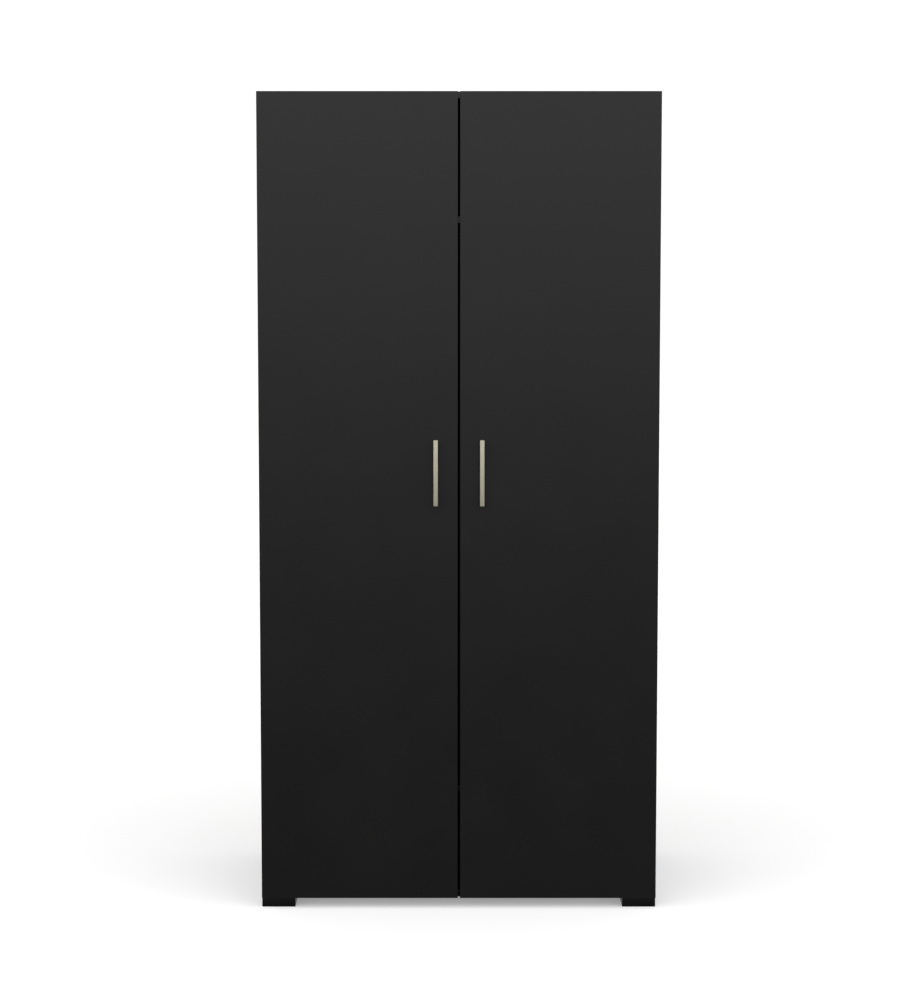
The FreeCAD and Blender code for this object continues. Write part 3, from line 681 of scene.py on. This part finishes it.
def oval(name, first, second):
    # a slab along X whose four long edges are rounded into half circles, with a hair of flat
    # left between each two
    piece = slab(name, first, second)
    half = (piece.dimensions.y - OVAL_FLAT) / 2
    bpy.ops.object.mode_set(mode="EDIT")
    pick_edges(piece, runs_along(0))
    bpy.ops.mesh.bevel(offset=half, offset_type="OFFSET", segments=20, profile=0.5, affect="EDGES")
    bpy.ops.object.mode_set(mode="OBJECT")
    return piece


CAST_ZINC = plated("cast_zinc", (0.38, 0.38, 0.38), (0.50, 0.50, 0.50), 0.42, 0.56)
rail_low, rail_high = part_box("hanging_rail")
rail = oval("oval_hanging_rail", rail_low, rail_high)
bpy.ops.object.mode_set(mode="EDIT")
pick_faces_square_to(rail, 0)
bpy.ops.mesh.delete(type="FACE")
bpy.ops.object.mode_set(mode="OBJECT")
apply_modifier(rail, "SOLIDIFY", thickness=RAIL_WALL, offset=-1.0, use_even_offset=True)
dressed(rail, powder_coat(), "carcass", "hanging_rail", 35)

for side, name in SIDES:
    low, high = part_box("rail_socket_" + name)
    face_x, mouth_x = (low.x, high.x) if side > 0 else (high.x, low.x)
    plate_x = face_x + side * SOCKET_PLATE
    middle = (low + high) / 2
    room = Vector((0, SOCKET_PLAY, SOCKET_PLAY))
    wall = room + Vector((0, SOCKET_WALL, SOCKET_WALL))
    plate = oval("plate", (face_x, low.y, low.z), (plate_x, high.y, high.z))
    collar = oval("collar", Vector((face_x, rail_low.y, rail_low.z)) - wall,
                  Vector((mouth_x, rail_high.y, rail_high.z)) + wall)
    socket = fused("rail_socket_casting_" + name, [plate, collar])
    apply_modifier(socket, "BEVEL", width=SOCKET_ROUND, segments=3, limit_method="ANGLE")
    cuts = [oval("mouth", Vector((plate_x, rail_low.y, rail_low.z)) - room,
                 Vector((mouth_x + side * SOCKET_PLATE, rail_high.y, rail_high.z)) + room)]
    for z in (low.z + SOCKET_SCREW_IN, high.z - SOCKET_SCREW_IN):
        top = Vector((plate_x, middle.y, z))
        inward = Vector((-side, 0, 0))
        cuts.append(drill(top, inward, SMALL_SCREW_R, SOCKET_HOLE_DEPTH))
        cuts.append(peg(top, top + inward * SMALL_SCREW_R, SOCKET_HEAD_R, end_radius=SMALL_SCREW_R))
    # one after the other, because these cutters run into each other
    for cut in cuts:
        cut_away(socket, [cut])
    dressed(socket, CAST_ZINC, "carcass", "rail_socket_" + name)

# ---- hinges ---------------------------------------------------------------------------
# Eight cup hinges of nickel-plated pressed steel. The pot and its two ears are set into
# the door's back, and a cranked arm runs from the pin in the pot to a plate on the side.
CUP_R = 0.0175
CUP_WALL = 0.0008
CUP_INNER_ROUND = 0.0018
FLANGE = 0.001
RIM_R = 0.0185
EAR_W = 0.013
EAR_ROUND = 0.0045
EAR_HOLE_DEPTH = 0.002
PIN_HOLE_R = 0.0013
KNUCKLE_R = 0.00215
NECK_HALF_W = 0.005
NECK_T = 0.0018
NECK_OFF_SIDE = 0.0026
NECK_BEHIND_FRONT = 0.0026
BEND_ROUND = 0.0014
WEB_T = 0.0015
CHEEK_OFF_SIDE = 0.0023
CHEEK_BEHIND_FRONT = 0.008
ARM_SCREWS_BEHIND_FRONT = (0.024, 0.050)
ARM_SCREW_R = 0.002
ARM_HOLE_DEPTH = 0.00225
PLATE_BODY_HALF = 0.0055
PLATE_BODY_BEHIND_FRONT = 0.012
PLATE_BODY_OFF_SIDE = 0.0077
PLATE_WING_BEHIND_FRONT = 0.037
PLATE_WING_HALF_W = 0.0055
PLATE_WING_HALF_L = 0.025
PLATE_WING_T = 0.002
PLATE_WING_ROUND = 0.004
PLATE_SCREW_UP = 0.016
PLATE_SCREW_R = 0.0025
PLATE_HOLE_DEPTH = 0.004
PLATE_TAP_DEPTH = 0.0054
PRESSED_ROUND = 0.0003
HINGE_STEEL = plated("hinge_nickel", (0.52, 0.51, 0.48), (0.62, 0.61, 0.58), 0.24, 0.36)


def round_edges(piece, radius, test):
    bpy.ops.object.mode_set(mode="EDIT")
    pick_edges(piece, test)
    bpy.ops.mesh.bevel(offset=radius, offset_type="OFFSET", segments=5, profile=0.5, affect="EDGES")
    bpy.ops.object.mode_set(mode="OBJECT")


def hinge_cup(name, low, high, side, pin_x, pin_y):
    z = (low.z + high.z) / 2
    outer_x = low.x if side > 0 else high.x
    cup_x = outer_x + side * CUP_R
    ears_x = cup_x + side * CUP_SCREW_IN
    seat_y = high.y - FLANGE
    rim = peg((cup_x, seat_y, z), (cup_x, high.y, z), RIM_R, sides=72)
    past_x = outer_x - side * CUP_R
    cut_away(rim, [slab("trim", (outer_x, low.y, low.z), (past_x, high.y + CUP_R, high.z))])
    ears = slab("ears", (ears_x - EAR_W / 2, seat_y, low.z), (ears_x + EAR_W / 2, high.y, high.z))
    round_edges(ears, EAR_ROUND, runs_along(1))
    pot = peg((cup_x, low.y, z), (cup_x, high.y, z), CUP_R, sides=72)
    cup = fused(name, [pot, rim, ears])
    apply_modifier(cup, "BEVEL", width=PRESSED_ROUND, segments=2, limit_method="ANGLE")
    inner_r = CUP_R - CUP_WALL
    hollow = peg((cup_x, low.y + CUP_WALL, z), (cup_x, high.y + CUP_R, z), inner_r, sides=72)
    apply_modifier(hollow, "BEVEL", width=CUP_INNER_ROUND, segments=5, limit_method="ANGLE")
    cut_away(cup, [hollow])
    reach = math.sqrt(inner_r ** 2 - (cup_x - pin_x) ** 2) + CUP_WALL
    cuts = [peg((pin_x, pin_y, z - reach), (pin_x, pin_y, z + reach), PIN_HOLE_R, sides=24)]
    for up in (-CUP_SCREW_UP, CUP_SCREW_UP):
        cuts.append(drill((ears_x, high.y, z + up), (0, -1, 0), CUP_SCREW_R, EAR_HOLE_DEPTH, sides=24))
    cut_away(cup, cuts)
    return cup


def hinge_arm(name, low, high, side, pin_x, pin_y, face_x, front_y):
    z = (low.z + high.z) / 2
    top_x = high.x if side > 0 else low.x
    web_x = top_x - side * WEB_T
    leg_x = face_x + side * NECK_OFF_SIDE
    leg_top_x = leg_x + side * NECK_T
    bend_y = front_y + NECK_BEHIND_FRONT
    neck_low = z - NECK_HALF_W
    neck_high = z + NECK_HALF_W
    half_t = NECK_T / 2
    parts = [
        slab("web", (web_x, bend_y - NECK_T, low.z), (top_x, high.y, high.z)),
        slab("bridge", (leg_x, bend_y - NECK_T, neck_low), (top_x, bend_y, neck_high)),
        slab("leg", (leg_x, pin_y - half_t, neck_low), (leg_top_x, bend_y, neck_high)),
        slab("run", (pin_x, pin_y - half_t, neck_low), (leg_top_x, pin_y + half_t, neck_high)),
        peg((pin_x, pin_y, neck_low), (pin_x, pin_y, neck_high), KNUCKLE_R),
    ]
    cheek_x = face_x + side * CHEEK_OFF_SIDE
    cheek_y = front_y + CHEEK_BEHIND_FRONT
    for edge_z, turn in ((low.z, 1), (high.z, -1)):
        inner_z = edge_z + turn * WEB_T
        parts.append(slab("cheek", (cheek_x, cheek_y, edge_z), (top_x, high.y, inner_z)))
    arm = fused(name, parts)
    bends = ((leg_top_x, pin_y - half_t), (leg_x, bend_y), (top_x, bend_y - NECK_T))

    def at_bend(one, other):
        # true for the long edges that stand at one of the three bends
        if abs(one.z - other.z) < NECK_HALF_W:
            return False
        return any(math.hypot(one.x - x, one.y - y) < NECK_T / 10 for x, y in bends)

    round_edges(arm, BEND_ROUND, at_bend)
    apply_modifier(arm, "BEVEL", width=PRESSED_ROUND, segments=2, limit_method="ANGLE",
                   angle_limit=math.radians(40))
    cuts = [peg((pin_x, pin_y, low.z), (pin_x, pin_y, high.z), PIN_HOLE_R, sides=24)]
    for back in ARM_SCREWS_BEHIND_FRONT:
        hole = (top_x, front_y + back, z)
        cuts.append(drill(hole, (-side, 0, 0), ARM_SCREW_R, ARM_HOLE_DEPTH, sides=24))
    cut_away(arm, cuts)
    return arm


def mounting_plate(z, side, face_x, front_y, end_y):
    crown_x = face_x + side * PLATE_BODY_OFF_SIDE
    wing_y = front_y + PLATE_WING_BEHIND_FRONT
    wing_x = face_x + side * PLATE_WING_T
    wing = slab("wing", (face_x, wing_y - PLATE_WING_HALF_W, z - PLATE_WING_HALF_L),
                (wing_x, wing_y + PLATE_WING_HALF_W, z + PLATE_WING_HALF_L))
    round_edges(wing, PLATE_WING_ROUND, runs_along(0))
    body = slab("body", (face_x, front_y + PLATE_BODY_BEHIND_FRONT, z - PLATE_BODY_HALF),
                (crown_x, end_y, z + PLATE_BODY_HALF))
    plate = fused("mounting_plate", [body, wing])
    apply_modifier(plate, "BEVEL", width=PRESSED_ROUND, segments=2, limit_method="ANGLE")
    cuts = []
    for up in (-PLATE_SCREW_UP, PLATE_SCREW_UP):
        hole = (wing_x, wing_y, z + up)
        cuts.append(drill(hole, (-side, 0, 0), PLATE_SCREW_R, PLATE_HOLE_DEPTH, sides=24))
    for back in ARM_SCREWS_BEHIND_FRONT:
        hole = (crown_x, front_y + back, z)
        cuts.append(drill(hole, (-side, 0, 0), ARM_SCREW_R, PLATE_TAP_DEPTH, sides=24))
    cut_away(plate, cuts)
    return plate


for side, name in SIDES:
    pin_low, pin_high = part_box("hinge_pins_" + name)
    pin_x = (pin_low.x + pin_high.x) / 2
    pin_y = (pin_low.y + pin_high.y) / 2
    panel_low, panel_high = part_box(name + "_side_panel")
    face_x = panel_high.x if side > 0 else panel_low.x
    plates = []
    for number in HINGE_NUMBERS:
        tag = name + "_" + number
        low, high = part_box("hinge_cup_" + tag)
        cup = hinge_cup("pressed_cup_" + tag, low, high, side, pin_x, pin_y)
        dressed(cup, HINGE_STEEL, name + "_door", "hinge_cup_" + tag)
        low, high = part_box("hinge_arm_" + tag)
        arm = hinge_arm("pressed_arm_" + tag, low, high, side, pin_x, pin_y, face_x, panel_low.y)
        dressed(arm, HINGE_STEEL, "carcass", "hinge_arm_" + tag)
        plates.append(mounting_plate((low.z + high.z) / 2, side, face_x, panel_low.y, high.y))
    nothing_selected()
    for plate in plates:
        plate.select_set(True)
    bpy.context.view_layer.objects.active = plates[0]
    bpy.ops.object.join()
    plates[0].name = "pressed_plates_" + name
    dressed(plates[0], HINGE_STEEL, "carcass", "mounting_plates_" + name)

# ---- fittings -------------------------------------------------------------------------
# Bought-in small parts, kept as drawn: nickel-plated hinge pins, zinc die-cast cams, bright
# zinc screws, bolts and nails, zinc-plated wall brackets, beech dowels, clear bumpers and
# the black plastic strip that joins the back sheets.


def beech():
    material, tree, bsdf = surface("beech_dowel")
    grain = noise(tree, object_space(tree, (1, 1, 0.1)), 900.0, 3.0)
    tree.links.new(tint(tree, grain, (0.42, 0.26, 0.14), (0.62, 0.44, 0.27)), bsdf.inputs["Base Color"])
    tree.links.new(spread(tree, grain, 0.6, 0.75), bsdf.inputs["Roughness"])
    return material


def clear_rubber():
    material, tree, bsdf = surface("clear_bumper")
    clouds = noise(tree, object_space(tree), 500.0, 2.0)
    tree.links.new(tint(tree, clouds, (0.55, 0.55, 0.53), (0.7, 0.7, 0.68)), bsdf.inputs["Base Color"])
    tree.links.new(spread(tree, clouds, 0.25, 0.4), bsdf.inputs["Roughness"])
    bsdf.inputs["Transmission Weight"].default_value = 0.5
    return material


ZINC_PLATE = plated("bright_zinc", (0.50, 0.52, 0.55), (0.63, 0.65, 0.67), 0.28, 0.42)
FINISHES = {
    "hinge_steel": HINGE_STEEL,
    "zinc_screws": ZINC_PLATE,
    "bracket_steel": ZINC_PLATE,
    "cast_zinc": CAST_ZINC,
    "strip_plastic": moulded_plastic("strip_plastic", (0.005, 0.005, 0.005), (0.008, 0.008, 0.008),
                                     0.36, 0.46, 900.0, 0.3),
    "beech_dowel": beech(),
    "clear_bumper": clear_rubber(),
}
for part in frame["record"]["subparts"]:
    finish = FINISHES.get(part["material_slot"])
    if finish is not None:
        for slot in frame["nodes"][part["node"]].material_slots:
            slot.material = finish
